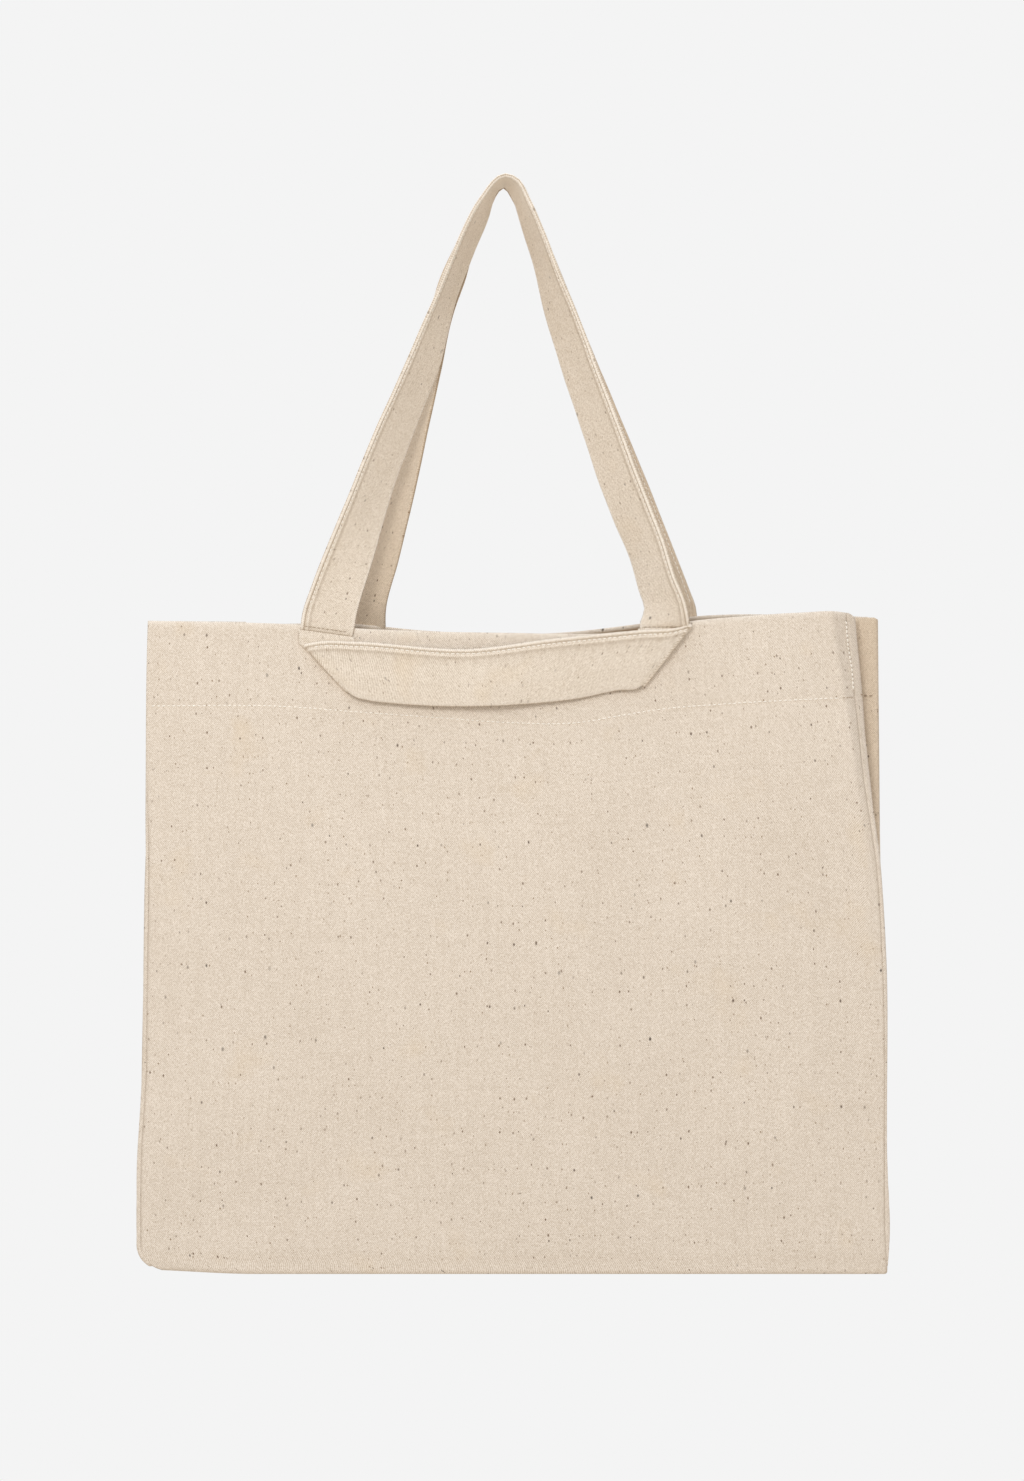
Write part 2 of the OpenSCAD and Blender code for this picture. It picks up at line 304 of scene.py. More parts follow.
class Nodes:
    """A node tree in the making. math, mix, scaled and noise each add a node and return its output."""

    def __init__(self, tree):
        self.tree = tree

    def add(self, kind, inputs=(), **props):
        node = self.tree.nodes.new(kind)
        for key, value in props.items():
            setattr(node, key, value)
        for key, value in dict(inputs).items():
            self.set(node.inputs[key], value)
        return node

    def set(self, socket, value):
        if isinstance(value, bpy.types.NodeSocket):
            self.tree.links.new(value, socket)
        else:
            socket.default_value = value

    def math(self, op, a, b=0.0, c=0.0, clamp=False):
        node = self.add("ShaderNodeMath", operation=op, use_clamp=clamp)
        for socket, value in zip(node.inputs, (a, b, c)):
            self.set(socket, value)
        return node.outputs[0]

    def mix(self, amount, a, b):
        return self.add("ShaderNodeMix", {0: amount, 6: a, 7: b}, data_type="RGBA").outputs[2]

    def scaled(self, vector, scale):
        return self.add("ShaderNodeVectorMath", {0: vector, 1: scale}, operation="MULTIPLY").outputs[0]

    def noise(self, vector, scale, detail=2.0, rough=0.5):
        inputs = {"Vector": vector, "Scale": scale, "Detail": detail, "Roughness": rough}
        return self.add("ShaderNodeTexNoise", inputs).outputs["Fac"]


def new_material(name):
    """A new material, its nodes and its shader."""
    material = bpy.data.materials.new(name)
    material.use_nodes = True
    return material, Nodes(material.node_tree), material.node_tree.nodes["Principled BSDF"]


def dress(s, shader, colour, roughness, sheen, bump):
    """Joins a fibre's colour, roughness, sheen and bump (height, strength, depth in m) to its shader."""
    height, strength, depth = bump
    relief = s.add("ShaderNodeBump", {"Strength": strength, "Distance": depth, "Height": height})
    s.set(shader.inputs["Base Color"], colour)
    s.set(shader.inputs["Roughness"], roughness)
    s.set(shader.inputs["Sheen Weight"], sheen)
    s.set(shader.inputs["Normal"], relief.outputs[0])


WARM_TONE = linear(222, 200, 165)
# the colours of painted highlight and painted shade, which the cloth's third value mixes in
PAINTED_HIGHLIGHT = linear(255, 249, 239)
PAINTED_SHADE = linear(152, 130, 104)
# seed specks, from many faint small ones to a few dark ones: cells per metre, size, colour, share of cells
SPECKS = (
    (300.0, 0.11, linear(132, 104, 72), 0.20),
    (140.0, 0.072, linear(98, 66, 34), 0.40),
    (75.0, 0.044, linear(70, 42, 20), 0.28),
    (34.0, 0.026, linear(44, 30, 20), 0.28),
)


def speckled(s, at, colour, flecks):
    """The colour with seed specks in it, each of its own size and strength."""
    for scale, size, dark, keep in SPECKS:
        inputs = {"Vector": s.scaled(at, (1.0, 0.66, 1.0)), "Scale": scale, "Randomness": 1.0}
        spot = s.add("ShaderNodeTexVoronoi", inputs, voronoi_dimensions="2D")
        pick = s.add("ShaderNodeSeparateXYZ", {0: spot.outputs["Color"]})
        reach = s.math("MULTIPLY_ADD", pick.outputs[0], size, size * 0.4)
        inside = s.math("DIVIDE", s.math("SUBTRACT", reach, spot.outputs["Distance"]), reach, clamp=True)
        chosen = s.math("LESS_THAN", pick.outputs[1], keep)
        shape = s.math("MULTIPLY", s.math("POWER", inside, 0.5), chosen)
        strength = s.math("MULTIPLY", shape, s.math("MULTIPLY_ADD", pick.outputs[2], 0.7, 0.35))
        colour = s.mix(s.math("MULTIPLY", strength, flecks, clamp=True), colour, dark)
    return colour


def cotton(name, base, shade, rib_mm=1.15, flecks=1.0):
    """Unbleached cotton twill: diagonal ribs, uneven yarns, seed flecks and faint clouds of tone."""
    material, s, shader = new_material(name)
    cloth = s.add("ShaderNodeAttribute", attribute_name="cloth").outputs["Vector"]
    u, v, painted_shading = s.add("ShaderNodeSeparateXYZ", {0: cloth}).outputs
    at = s.add("ShaderNodeCombineXYZ", {0: u, 1: v}).outputs[0]
    # the ribs run up to the right; slow noise keeps them from being ruled
    over = s.math("SUBTRACT", u, s.math("MULTIPLY", v, 0.85))
    along = s.math("ADD", v, s.math("MULTIPLY", u, 0.85))
    wander = s.math("MULTIPLY", s.noise(at, 420.0, 2.0), 3.6)
    phase = s.math("MULTIPLY_ADD", over, 2 * math.pi * MM / rib_mm, wander)
    rib = s.math("MULTIPLY_ADD", s.math("SINE", phase), 0.5, 0.5)
    diagonal = s.add("ShaderNodeCombineXYZ", {0: over, 1: s.math("MULTIPLY", along, 0.38)}).outputs[0]
    yarn = s.noise(diagonal, 1400.0, 1.0, 0.6)
    slub = s.noise(s.scaled(at, (1.0, 0.5, 1.0)), 560.0, 2.0, 0.6)
    # each float of the weave takes the light a little differently
    floats = {
        0: s.math("FLOOR", s.math("MULTIPLY", over, 1400.0)),
        1: s.math("FLOOR", s.math("MULTIPLY", along, 1050.0)),
    }
    cell = s.add("ShaderNodeCombineXYZ", floats).outputs[0]
    grain = s.add("ShaderNodeTexWhiteNoise", {"Vector": cell}, noise_dimensions="2D").outputs["Value"]
    streak = s.noise(s.scaled(at, (1.0, 0.045, 1.0)), 330.0, 3.0, 0.6)
    weft = s.noise(s.scaled(at, (0.05, 1.0, 1.0)), 260.0, 2.0, 0.6)
    cloud = s.noise(at, 14.0, 3.0, 0.55)
    mottle = s.noise(at, 90.0, 3.0, 0.6)
    parts = (
        (rib, 0.5),
        (yarn, 0.6),
        (slub, 0.06),
        (grain, 0.34),
        (streak, 0.18),
        (weft, 0.10),
        (cloud, 0.16),
        (mottle, 0.06),
    )
    tone = 0.5 - 0.5 * sum(amount for _, amount in parts)
    for texture, amount in parts:
        tone = s.math("MULTIPLY_ADD", texture, amount, tone)
    colour = s.mix(s.math("MAXIMUM", s.math("MINIMUM", tone, 1.0), 0.0), shade, base)
    warm = s.math("SUBTRACT", s.noise(at, 26.0, 2.0), 0.60, clamp=True)
    colour = s.mix(s.math("MULTIPLY", warm, 1.4, clamp=True), colour, WARM_TONE)
    colour = speckled(s, at, colour, flecks)
    # painted highlight where the cloth's third value is above 0, and painted shade where it is below 0
    colour = s.mix(s.math("MULTIPLY", painted_shading, 0.75, clamp=True), colour, PAINTED_HIGHLIGHT)
    colour = s.mix(s.math("MULTIPLY", painted_shading, -0.6, clamp=True), colour, PAINTED_SHADE)
    height = s.math("MULTIPLY_ADD", slub, 0.9, s.math("MULTIPLY", grain, 0.4))
    for texture, amount in ((yarn, 1.0), (rib, 0.5), (mottle, 1.2)):
        height = s.math("MULTIPLY_ADD", texture, amount, height)
    roughness = s.math("MULTIPLY_ADD", mottle, 0.12, 0.84)
    dress(s, shader, colour, roughness, 0.10, (height, 0.65, 0.00025))
    s.set(shader.inputs["Sheen Roughness"], 0.6)
    s.set(shader.inputs["Specular IOR Level"], 0.22)
    return material


def spun_thread(name, base, shade):
    """Thread with a fine ply."""
    material, s, shader = new_material(name)
    at = s.add("ShaderNodeAttribute", attribute_name="cloth").outputs["Vector"]
    ply = s.noise(at, 1900.0, 2.0, 0.6)
    roughness = s.math("MULTIPLY_ADD", ply, 0.2, 0.6)
    dress(s, shader, s.mix(ply, shade, base), roughness, 0.1, (ply, 0.5, 0.0001))
    return material


CANVAS = cotton("cotton_twill_body", linear(255, 246, 234), linear(192, 177, 157))
STRAP = cotton("cotton_twill_strap", linear(255, 246, 233), linear(192, 176, 154), flecks=0.8)
# a darker, warmer copy of the canvas for the back gusset halves and the back handle, which lie in shade:
# painted shade
SHADY = cotton("cotton_twill_painted_shade", linear(240, 225, 205), linear(186, 166, 140))
THREAD = spun_thread("cotton_thread", linear(255, 253, 247), linear(244, 236, 222))
GREY_THREAD = spun_thread("cotton_thread_grey", linear(188, 168, 142), linear(142, 122, 100))
# the colour of the needle holes is painted shade
HOLE_SHADE = spun_thread("needle_hole_painted_shade", linear(160, 137, 108), linear(118, 97, 72))

# ---- the body cloth: front, bottom fold and back in one piece, turned in at the mouth ----

# heights of the mouth's edge against the CAD's corners
front_mouth = curve(
    (-214, -2.0), (-124, -4.4), (-90, -6.6), (-5, -9.2), (82, -7.7), (111, -2.4),
    (145, 0.7), (177, 2.8), (203, 3.3), (210, 2.2), (218, -2.0),
)
back_mouth = curve(
    (-214, -3.4), (-150, -3.4), (-90, -3.4), (-50, -7.2), (35, -8.5), (82, -3.2),
    (111, 0.9), (190, 1.8), (216, 1.1), (221, 0.7), (228, -4.0),
)
# x of the side outlines and seams against height
left_out = curve(
    (-646, -221.6), (-580, -221.0), (-530, -218.0), (-485, -217.4),
    (-390, -215.7), (-270, -214.5), (-250, -213.9),
)
right_out = curve(
    (-650, 230.6), (-628, 231.9), (-585, 230.4), (-460, 229.4),
    (-407, 226.2), (-350, 219.4), (-300, 215.2), (-250, 210.6),
)
right_seam = curve(
    (-650, 230.8), (-625, 229.2), (-606, 229.0), (-460, 227.2), (-407, 223.8), (-350, 215.6),
    (-317, 212.2), (-300, 210.2), (-287, 209.2), (-273, 207.0), (-250, 205.4),
)
back_left = curve((-646, -219.4), (-500, -217.2), (-300, -213.8), (-250, -213.2))
back_right = curve(
    (-650, 228.8), (-560, 228.6), (-460, 227.4),
    (-400, 226.0), (-330, 225.4), (-250, 225.0),
)
# where the front's right edge starts to turn back, and how far back its seam then lies
right_turn = curve(
    (-650, 226.0), (-460, 223.2), (-437, 221.9), (-350, 210.8),
    (-317, 206.6), (-275, 199.2), (-250, 195.8),
)
turn_back = curve((-650, 1.0), (-407, 2.0), (-270, 8.8), (-250, 9.4))
# the height of the hem's stitching on the front
front_hem_z = curve(
    (-215, -309.0), (-135, -309.2), (-87, -312.6), (-40, -316.0), (8, -319.2),
    (42, -319.2), (67, -315.2), (93, -311.0), (129, -308.0), (216, -303.4),
)
EDGE_BACK, EDGE_RUN, EDGE_SOFT = 1.0, 2.5, 0.7  # how the panels' other edges turn to their seams
CORNERS = (15.0, 1.2)  # radii of the bottom's left and right corner


def back_hem_z(x):
    return ZM + back_mouth(x) - HEM


def seam_left(z):
    """The left front seam, which the gusset rolls out past in the lower part."""
    return left_out(z) + (2.3 - 1.9 * step(z, -430, -330))


def fold_z(x):
    """The height of the fold's middle line. It hangs a little low, and rises towards the left corner."""
    return Z0 - 2.7 + 2.8 * step(-x, 150, 226)


def corner_in(height, radius):
    """How far a rounded corner comes in at a height over the bottom edge."""
    t = np.clip(1 - height / radius, 0, 1)
    return radius * (1 - np.sqrt(1 - t * t))


def flat_y(z):
    return FOLD_R + np.maximum(z - Z0, 0) * LEAN


def relief(x, z, seed):
    """Slack in hanging cloth: broad, shallow waves that run mostly upright."""
    draw = np.random.default_rng(seed)
    y = np.zeros(np.broadcast(x, z).shape)
    for wave, size in ((150, 0.9), (95, 0.55), (60, 0.30), (38, 0.14), (24, 0.07)):
        for _ in range(3):
            a, b, c = draw.uniform(-0.5, 0.5), draw.uniform(0, 2 * math.pi), draw.uniform(-0.4, 0.4)
            way = x * math.cos(a) + z * math.sin(a)
            y = y + size * np.sin(2 * math.pi * way / wave + b + c * z / 60)
    return y / 1.6


def bulge(x, z, deep, seed):
    """How far a panel stands out of its plane. It is held at the bottom, the sides and the mouth."""
    v = np.clip((z - Z0) / BODY_H, 0, 1)
    u = np.clip((x - XC) / HALF_LOW, -1, 1)
    belly = deep * np.sin(math.pi * v) ** 0.9 * (1 - u**2) ** 0.8
    return belly + relief(x, z, seed) * step(v, 0.02, 0.25) * (1 - u**6) * (1 - 0.5 * step(v, 0.85, 1))


def hem_step(z, line):
    """The hem is two plies thick above its stitching, which pulls it in."""
    return 0.35 * step(z, line - 1.0, line + 1.6) - 0.42 * bell(z, line, 1.1)


def turned(x, start, slope, soft):
    """0 before the start, then rising at the slope, round a soft corner."""
    return slope * soft * np.logaddexp(0, (x - start) / soft)


def front_y(x, z):
    y = -flat_y(z) - bulge(x, z, 3.2, 3) - hem_step(z, front_hem_z(x))
    # under the short handle the mouth hangs in a shallow scoop
    y = y + 1.3 * bell(x, -2, 70) * step((z - Z0) / BODY_H, 0.88, 1.0)
    # towards the bottom the cloth turns under, with a soft crease above the fold
    low = np.clip(1 - (z - Z0 + 3) / 13, 0, 1)
    crease = bell(z - Z0 - (x + 120) / 60, 3.6, 1.2) * step(x, -185, -150) * (1 - step(x, -90, -55))
    y = y + 1.7 * low**2 + 0.30 * crease
    # a faint tuck just under the band
    y = y + 0.8 * bell(x, 42, 2.6) * step(z, -318, -300)
    # the right edge turns back, most at the mouth
    slope = turn_back(z) / (right_seam(z) - right_turn(z))
    y = y + turned(x, right_turn(z), slope, 0.8)
    return y + turned(-x, -(seam_left(z) + EDGE_RUN), EDGE_BACK / EDGE_RUN, EDGE_SOFT)


def back_y(x, z):
    y = flat_y(z) + bulge(x, z, 3.0, 11) + hem_step(z, back_hem_z(x))
    y = y - turned(x, back_right(z) - EDGE_RUN, EDGE_BACK / EDGE_RUN, EDGE_SOFT)
    return y - turned(-x, -(back_left(z) + EDGE_RUN), EDGE_BACK / EDGE_RUN, EDGE_SOFT)


LIP = math.pi * np.arange(1, 5) / 5  # the turns of the cloth over the mouth's edge
COLS, ROWS = 176, 138
even = np.linspace(0, 1, COLS)
ACROSS = even - 0.72 * np.sin(2 * math.pi * even) / (2 * math.pi)  # closer together near both ends


def side_rows(sign, mouth, left, right, y_at):
    """Rows from the bottom fold's middle up the outside, over the mouth and down the hem's inner ply,
    and how far along the cloth each one is."""
    rows, vs = [], []

    def add(x, y, z, v):
        rows.append(np.stack([x, y, z], 1))
        vs.append(v)

    def between(z, height):
        low = left(z) + corner_in(height, CORNERS[0])
        high = right(z) - corner_in(height, CORNERS[1])
        return low + (high - low) * ACROSS

    bottom = np.full(COLS, Z0)
    for a in np.radians([22.5, 45, 67.5, 90]):
        depth = FOLD_R * math.cos(a)
        x = between(bottom, FOLD_R - depth)
        add(x, y_at(x, bottom) * math.sin(a), fold_z(x) - depth, FOLD_R * a)
    quarter = FOLD_R * math.pi / 2
    for h in np.linspace(0, 1, ROWS)[1:]:
        z = np.full(COLS, Z0 + BODY_H * h)
        # where a row lies depends on its height and the other way round
        for _ in range(3):
            x = between(z, z - fold_z(0 * z) + FOLD_R)
            z = fold_z(x) + (ZM + mouth(x) - fold_z(x)) * h
        add(x, y_at(x, z), z, quarter + h * BODY_H)
    x, y, z = rows[-1].T
    top = quarter + BODY_H
    for a in LIP:
        add(x, y - sign * 0.55 * (1 - math.cos(a)), z + 0.5 * math.sin(a), top + 0.5 * a)
    wave = 0.35 * np.sin(x / 9.0) * np.sin(x / 23.0 + 1)
    for drop in np.linspace(0, HEM, 18)[1:]:
        inset = 0.4 + 1.4 * step(drop, 0, 6)
        ply_x, ply_z = XC + (x - XC) * (1 - inset / HALF_TOP), z - drop
        inside = 1.1 + 0.25 * step(drop, 10, 40) * wave + 0.5 * step(drop, HEM - 8, HEM)
        add(ply_x, y_at(ply_x, ply_z) - sign * inside, ply_z, top + 1.6 + drop)
    return rows, vs


def body_painted_shading(grid, v):
    """Where highlight and shade are painted on the body cloth. v is below 0 in front and above 0 at the back.
    """
    from_mouth = abs(v) - FOLD_R * math.pi / 2 - BODY_H - 1
    # painted highlight along the fold of the mouth's edge
    fold_highlight = 0.55 * bell(from_mouth, 0, 1.6)[:, None] * (0.75 + 0.25 * np.sin(ACROSS * 90))[None]
    # the back's edge gets less of the painted highlight, and painted shade just inside the mouth
    behind = 0.3 * fold_highlight - 2.2 * step(from_mouth, 0.1, 1.3)[:, None]
    # in front, shade is painted in the ditches beside the side seams and on the part that turns back at the
    # right
    x, z = grid[..., 0], grid[..., 2]
    ditch = bell(x, x[:, :1], 0.8) * (1 - step(z, -390, -340)) + bell(x, x[:, -1:], 0.8)
    facet = step(x - right_turn(z), -1.0, 1.5) * step(z, -430, -330)
    before = fold_highlight - np.where(v[:, None] < 0, 0.7 * ditch + 0.19 * facet, 0)
    return np.where(v[:, None] > 0, behind, before)


front_rows, front_v = side_rows(-1, front_mouth, seam_left, right_seam, front_y)
back_rows, back_v = side_rows(1, back_mouth, back_left, back_right, back_y)
middle_x = (front_rows[0][:, 0] + back_rows[0][:, 0]) / 2
middle = np.stack([middle_x, 0 * middle_x, fold_z(middle_x) - FOLD_R], 1)
grid = np.array(front_rows[::-1] + [middle] + back_rows)
v = np.array([-t for t in front_v[::-1]] + [0.0] + back_v)
cloth = on_cloth((ACROSS - 0.5) * 2 * HALF_LOW, -v[:, None], grid.shape[:2])
body = shell("body_cloth", grid, CLOTH, cloth, CANVAS, body_painted_shading(grid, v))
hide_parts("front_panel", "bottom_fold", "front_hem", "back_panel", "back_hem")
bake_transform(body)


def on_surface(xs, zs, y_at, off):
    """A line on the outer face of a panel, and the way out of it at each point."""
    p = np.stack([xs, y_at(xs, zs), zs], 1)
    dx = (y_at(xs + 0.5, zs) - y_at(xs - 0.5, zs))[:, None] * [0, 1, 0] + [1, 0, 0]
    dz = (y_at(xs, zs + 3.0) - y_at(xs, zs - 3.0))[:, None] / 6 * [0, 1, 0] + [0, 0, 1]
    n = unit(np.cross(dx, dz))
    n *= np.sign(n[:, 1:2]) * np.sign(off)
    return p + n * abs(off), n


def row_on(body_name, name, xs, zs, y_at, material, **sizes):
    """A row of stitches on the outer face of the front or the back."""
    off = CLOTH / 2 if body_name == "back" else -CLOTH / 2
    line, out = on_surface(xs, zs, y_at, off)
    row = stitches(name, line, out, material, **sizes)
    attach(row, body_name)
    return row


xs = np.linspace(-213.6, 203.5, 300)
row = row_on("front", "front_hem_stitches", xs, front_hem_z(xs), front_y, THREAD)
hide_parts("front_hem_stitching")
# where the front turns back its last stitches are small and in shade, and their grey thread is painted shade
xs = np.linspace(201.5, 210.5, 20)
small = {"pitch": 2.3, "long": 1.8, "wide": 0.6}
row_on("front", "front_hem_last_stitches", xs, front_hem_z(xs), front_y, GREY_THREAD, **small)
xs = np.linspace(-212.5, 221.5, 300)
row = row_on("back", "back_hem_stitches", xs, back_hem_z(xs), back_y, THREAD)
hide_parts("back_hem_stitching")

# ---- gussets ----


def gusset(name, sx, sy, seam, out_x, y_at, mouth, drawn):
    """One gusset half: it comes out of its side seam, rolls over and runs in to the crease.

    sx is -1 on the left and 1 on the right, sy is 1 on the front half and -1 on the back one. out_x is
    how far the roll comes out, and drawn is 1 where the mouth draws it open and 0 elsewhere.
    """
    zs = np.concatenate([np.linspace(Z0 - 1.0, Z0 + 14, 14)[:-1], np.linspace(Z0 + 14, ZM, 122)])
    count = 30  # of points from the seam to the crease

    def section(z):
        """Its line at a height: (out from the middle, in from the front or back)."""
        g = float(drawn(z))
        radius = CORNERS[0] if sx < 0 else CORNERS[1]
        inwards = float(corner_in(z - fold_z(seam(z)) + FOLD_R, radius))
        x = seam(z) - sx * inwards
        start = np.array([(x - XC) * sx, y_at(x, z) * sy])
        tip = (out_x(z) - sx * inwards - XC) * sx
        reach = tip - start[0]
        room = 0.72 * abs(start[1]) if g < 0.01 else 9  # towards the middle plane
        depth = min(2.0 + 4.5 * g, room)
        rolled = np.array([tip - 0.9 * reach, start[1] + (1.08 + 0.1 * g) * depth])
        edge = HALF_LOW + (HALF_TOP - HALF_LOW) * (z - Z0) / BODY_H
        crease = np.array([edge - (HINGE_Y + max(z - Z0, 0) * LEAN) * COT, 0.3])
        far = crease - rolled
        sag = np.array([0.0, -1.0]) * min(1.2, 0.03 * np.linalg.norm(far))
        points = [
            start,
            start + [0.62 * reach, (0.10 + 0.38 * g) * depth],
            [tip, start[1] + (0.52 + 0.36 * g) * depth],
            [tip - 0.35 * reach, start[1] + (0.96 + 0.16 * g) * depth],
            rolled,
        ]
        points += [rolled + far * t + sag * math.sin(math.pi * t) * (1 - g) for t in (0.22, 0.5, 0.8)]
        return path(points + [crease], count)

    def inward(line):
        """The level way square to a line, to the inside of the hem."""
        t = unit(np.gradient(line[:, :2], axis=0))
        return np.stack([-t[:, 1], t[:, 0], 0 * t[:, 0]], 1)

    sections = np.array([section(z) for z in zs])
    d = np.array([distances(line) for line in sections])
    share = np.linspace(0, 1, count)
    # its top edge falls towards the crease, from the corner that it shares with the panel
    corner, level = mouth(float(seam(ZM))), mouth(float(seam(ZM)) - sx * 4)
    top = level - 0.4 * (2.6 + level) * share - 2.2 * float(drawn(ZM)) * step(share, 0.01, 0.14)
    top = top + (corner - level) * (1 - step(share, 0, 0.06))
    rows, places = [], []
    for line, run, z in zip(sections, d, zs):
        height = z + top * step((z - zs[0]) / (zs[-1] - zs[0]), 0.55, 1.0)
        rows.append(np.stack([line[:, 0], line[:, 1], height], 1))
        places.append(np.stack([run, np.full(count, z)], 1))
    last = rows[-1]
    for a in LIP:
        rows.append(last + inward(last) * 0.5 * (1 - math.cos(a)) + [0, 0, 0.5 * math.sin(a)])
        places.append(np.stack([d[-1], np.full(count, ZM + 0.5 * a)], 1))
    for drop in np.linspace(0, HEM, 14)[1:]:
        k = int(np.argmin(abs(zs - (ZM - drop))))
        ply = np.stack([sections[k][:, 0], sections[k][:, 1], last[:, 2] - drop], 1)
        rows.append(ply + inward(ply))
        places.append(np.stack([d[k], np.full(count, ZM + 1.6 + drop)], 1))
    grid = np.array(rows)
    grid[..., 0] = XC + grid[..., 0] * sx
    grid[..., 1] *= sy
    # painted shade where the mouth draws the gusset open
    shade = -0.2 * np.array([float(drawn(z)) for z in np.minimum(grid[:, 0, 2], ZM)])[:, None]
    # the back halves get the darker canvas, as painted shade
    material = CANVAS if sy > 0 else SHADY
    sheet = shell(name + "_cloth", grid, CLOTH * 0.9, np.array(places), material, shade)
    # the hem's stitches, on the face that looks out into the fold
    row = int(np.argmin(abs(zs - (ZM - HEM + 2))))
    out = normals(grid)[row, 2:-1]
    out = out * (1 if out[count // 2 - 2, 1] * sy > 0 else -1)
    thread = stitches(name + "_stitches", grid[row, 2:-1] + out * CLOTH * 0.45, out, GREY_THREAD)
    # two points just beside the seam, at the mouth and at the bottom
    high = Vector((float(seam(ZM)) + sx, 0, ZM))
    low = Vector((float(seam(Z0)) + sx, 0, Z0))
    for piece in (sheet, thread):
        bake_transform(piece)
    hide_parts(name, name + "_hem")
    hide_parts(name + "_stitching")


def nowhere(z):
    return 0.0


def at_mouth(z):
    return step(z, -420, -290)


def back_right_out(z):
    return back_right(z) + 1.0


def back_left_out(z):
    return back_left(z) - 1.2


gusset("right_gusset_front", 1, 1, right_seam, right_out, front_y, front_mouth, at_mouth)
gusset("left_gusset_front", -1, 1, seam_left, left_out, front_y, front_mouth, nowhere)
gusset("right_gusset_back", 1, -1, back_right, back_right_out, back_y, back_mouth, nowhere)
gusset("left_gusset_back", -1, -1, back_left, back_left_out, back_y, back_mouth, nowhere)

# the seam's own stitches, which show where the right edge turns back
zs = np.linspace(-256.5, -300, 60)
sizes = {"pitch": 2.6, "long": 2.2, "wide": 1.0, "high": 0.5}
row_on("front", "right_seam_stitches", right_seam(zs) - 0.9, zs, front_y, THREAD, **sizes)

# ---- seam allowances inside, with overlocked edges ----

ALLOWANCE = 8.6  # its width where it isn't trimmed
INSIDE = 1.02  # from a panel's middle to an allowance's


def trimmed(z):
    """It is trimmed narrower towards the bottom, where the gusset's crease comes close."""
    return np.minimum(1, (z - Z0) / 80)


def allowance(name, sx, seam, y_at, sign, parent):
    zs = np.linspace(Z0 + 22, ZM - HEM - 6, 90)
    z, d = np.meshgrid(zs, np.linspace(0.8, ALLOWANCE, 7), indexing="ij")
    d = d * trimmed(z)
    x = seam(z) - sx * d
    wave = 0.16 * np.sin(z / 7.0) * d / ALLOWANCE + 0.12 * np.sin(z / 3.1 + 1) * d / ALLOWANCE
    mid = np.stack([x, y_at(x, z) - sign * (INSIDE + wave), z], 2)
    sheet = shell(name + "_cloth", mid, CLOTH, np.stack([d, z], 2), CANVAS)
    # the overlock's thread runs to and fro over the edge
    turn = np.arange(0, len(zs) * 3)
    z = np.interp(turn, np.arange(0, len(zs)) * 3, zs)
    d = np.where(turn % 2, 5.4, 8.5) * trimmed(z)
    x = seam(z) - sx * d
    y = y_at(x, z) - sign * (INSIDE + 0.5 + 0.28 * np.sin(z / 7.0) * d / ALLOWANCE)
    line = np.stack([x, y, z], 1)
    points, faces = [], []
    for a, b in zip(line[:-1], line[1:]):
        side = np.cross((b - a) / np.linalg.norm(b - a), [0, 1, 0]) * 0.2
        faces += tube(len(points), 2, 4)
        for p in (a, b):
            points += [p + side, p - [0, sign * 0.22, 0], p - side, p + [0, sign * 0.12, 0]]
    thread = make(name + "_overlock", np.array(points), faces, np.array(points), THREAD)
    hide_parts(name)
    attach(sheet, parent)
    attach(thread, parent)
    return [sheet, thread]


edges = allowance("front_left_allowance", -1, seam_left, front_y, -1, "front")
edges += allowance("front_right_allowance", 1, right_seam, front_y, -1, "front")
edges += allowance("back_left_allowance", -1, back_left, back_y, 1, "back")
edges += allowance("back_right_allowance", 1, back_right, back_y, 1, "back")

# ---- long handles ----

LEG = 66  # steps in each leg
ROOT_Y = 15.4
ROOT_Z = -262  # the mouth's edge, below the top of the handles
EDGE = 0.7  # what the rounded rim adds to the mid surface on each side
ROW = 2.2  # of the edge stitching, from the mid surface's outer edge
# distances across a strap from its outer edge, close together where it is stitched
SHARES = np.array(
    [0, 0.3, 0.7, 1.1, 1.5, 1.85, ROW, 2.55, 2.9, 3.3, 3.8, 4.5]
    + [6, 9, 13, 17, 21, 25, 28.3, STRAP_W - 2 * EDGE]
)
SHARE = SHARES / SHARES[-1]
ROW_AT = int(np.flatnonzero(SHARES == ROW)[0])


def strap_thick(d):
    """A strap's thickness at a distance from its outer edge: a bead, then the stitching draws it in."""
    bead, groove = 0.20 * bell(d, 0.7, 0.5), 0.46 * bell(d, ROW, 0.42)
    inner_bead, inner_dip = 0.08 * bell(d, 3.4, 0.4), 0.10 * bell(d, 4.3, 0.5)
    return STRAP_T * (1 + bead - groove + inner_bead - inner_dip)


def strap_highlight_shade(d):
    """Painted highlights along both folded edges and beside the stitching, and painted shade in the groove it
    lies in.
    """
    painted_light = 0.9 * bell(d, 0, 0.75) + 0.5 * bell(d, SHARES[-1], 0.6) + 0.45 * bell(d, 3.3, 0.4)
    return painted_light - 1.15 * bell(d, 1.5, 0.36) - 0.8 * bell(d, 4.2, 0.5)


THICK = strap_thick(SHARES)


def over_top(points):
    """An edge line from the left root over its highest point to the right root, each leg in LEG steps."""
    fine = path(points, 1600)
    top = int(np.argmax(fine[:, 1]))
    left, right = resample(fine[: top + 1], LEG + 1), resample(fine[top:], LEG + 1)
    return np.concatenate([left, right[1:]])


